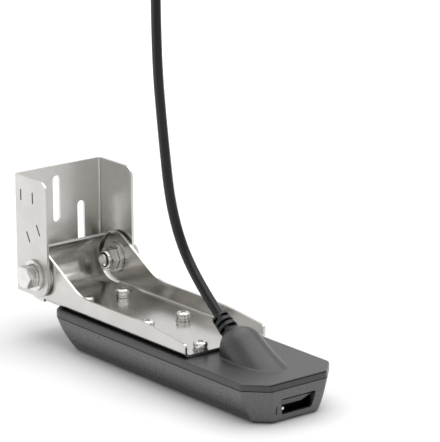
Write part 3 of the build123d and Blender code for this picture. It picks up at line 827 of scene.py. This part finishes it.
def levelPlane(name, lowX, highX, halfY, height):
    data = bpy.data.meshes.new(name)
    corners = ((lowX, -halfY), (highX, -halfY), (highX, halfY), (lowX, halfY))
    data.from_pydata([(x, y, height) for x, y in corners], [], [(0, 1, 2, 3)])
    plane = bpy.data.objects.new(name, data)
    scene.collection.objects.link(plane)
    return plane


def newPaper(name, color, roughness):
    finish, shader = newFinish(name)
    shader.inputs["Base Color"].default_value = color
    shader.inputs["Roughness"].default_value = roughness
    return finish


def makeFloor(s):
    # pale paper that keeps the shadow and looks white away from the hull; its glow for camera and
    # reflections is painted light, nil by the hull and growing away from it, which deepens the
    # shadow there
    half = s["floorSize"] / 2
    floor = levelPlane("floor", -half, half, half, s["floorHeight"])
    finish = newPaper("floorPaper", s["floorColor"], s["paperRoughness"])
    tree = finish.node_tree
    rays = addNode(tree, "ShaderNodeLightPath").outputs
    place = addNode(tree, "ShaderNodeTexCoord").outputs["Object"]
    near = addNode(
        tree, "ShaderNodeVectorMath", {0: place, 1: s["liftShape"]}, operation="MULTIPLY"
    )
    away = addNode(
        tree, "ShaderNodeVectorMath", {0: near.outputs[0]}, operation="LENGTH"
    ).outputs["Value"]
    # painted light: a glow for seen rays that grows with the distance from the hull
    lift = reckon(
        tree,
        "ADD",
        spread(tree, away, *s["lift"], *s["liftReach"]),
        spread(tree, away, 0.0, s["farLift"], *s["farReach"]),
    )
    lift = times(tree, seenRay(tree, rays), lift)
    glow = addNode(tree, "ShaderNodeEmission", {"Strength": lift}).outputs["Emission"]
    matt = tree.nodes["Principled BSDF"].outputs["BSDF"]
    both = addNode(tree, "ShaderNodeAddShader", {0: matt, 1: glow})
    tree.links.new(both.outputs["Shader"], tree.nodes["Material Output"].inputs["Surface"])
    floor.data.materials.append(finish)


def makeCard(s):
    # a card a little darker than the floor, on the camera's side, which only reflections show
    start, size = s["cardStart"], s["cardSize"]
    card = levelPlane("darkCard", start, start + size, size, s["cardHeight"])
    card.visible_camera = False
    card.visible_diffuse = False
    card.visible_shadow = False
    card.data.materials.append(newPaper("cardPaper", s["cardColor"], s["paperRoughness"]))


def makeWorld(s):
    # white to the camera, and a white backdrop in a dimmer room to what reflects
    world = bpy.data.worlds.new("studio")
    scene.world = world
    world.use_nodes = True
    tree = world.node_tree
    rays = addNode(tree, "ShaderNodeLightPath").outputs
    direction = coordinates(tree, "Generated")
    above = spread(tree, direction["Z"], 1.0, s["roomAbove"], *s["sweepTop"])
    aside = spread(tree, direction["X"], 1.0, s["roomAside"], *s["sweepSide"])
    level = spread(tree, seenRay(tree, rays), s["fill"], 1.0, 0, 1)
    room = times(tree, times(tree, above, aside), level)
    background = tree.nodes["Background"].inputs
    background["Color"].default_value = (1, 1, 1, 1)
    tree.links.new(reckon(tree, "MAXIMUM", room, rays["Is Camera Ray"]), background["Strength"])


lampSettings = [
    {
        "name": "overheadLamp",
        "place": (-0.05, 0.3, 1.6),
        "target": (0, 0, 0.05),
        "size": (2.4, 2.2),
        "watts": 26,
        "reflected": True,
    },
    {
        "name": "backLamp",
        "place": (-0.1, 1.6, 1.4),
        "target": (0, 0, 0.05),
        "size": (1.3, 1.1),
        "watts": 2.5,
        "reflected": False,
    },
    {
        "name": "fillLamp",
        "place": (-0.7, -1.6, 0.35),
        "target": (0, 0, 0.02),
        "size": (1.4, 0.5),
        "watts": 4.2,
        "reflected": False,
    },
]


def makeLamp(s):
    data = bpy.data.lights.new(s["name"], "AREA")
    data.shape = "RECTANGLE"
    data.size, data.size_y = s["size"]
    data.energy = s["watts"]
    lamp = bpy.data.objects.new(s["name"], data)
    lamp.location = s["place"]
    lamp.visible_glossy = s["reflected"]
    aim = Vector(s["target"]) - Vector(s["place"])
    lamp.rotation_euler = aim.to_track_quat("-Z", "Y").to_euler()
    scene.collection.objects.link(lamp)


makeFloor(studioSettings)
makeCard(studioSettings)
makeWorld(studioSettings)
for lamp in lampSettings:
    makeLamp(lamp)
print("studio made")
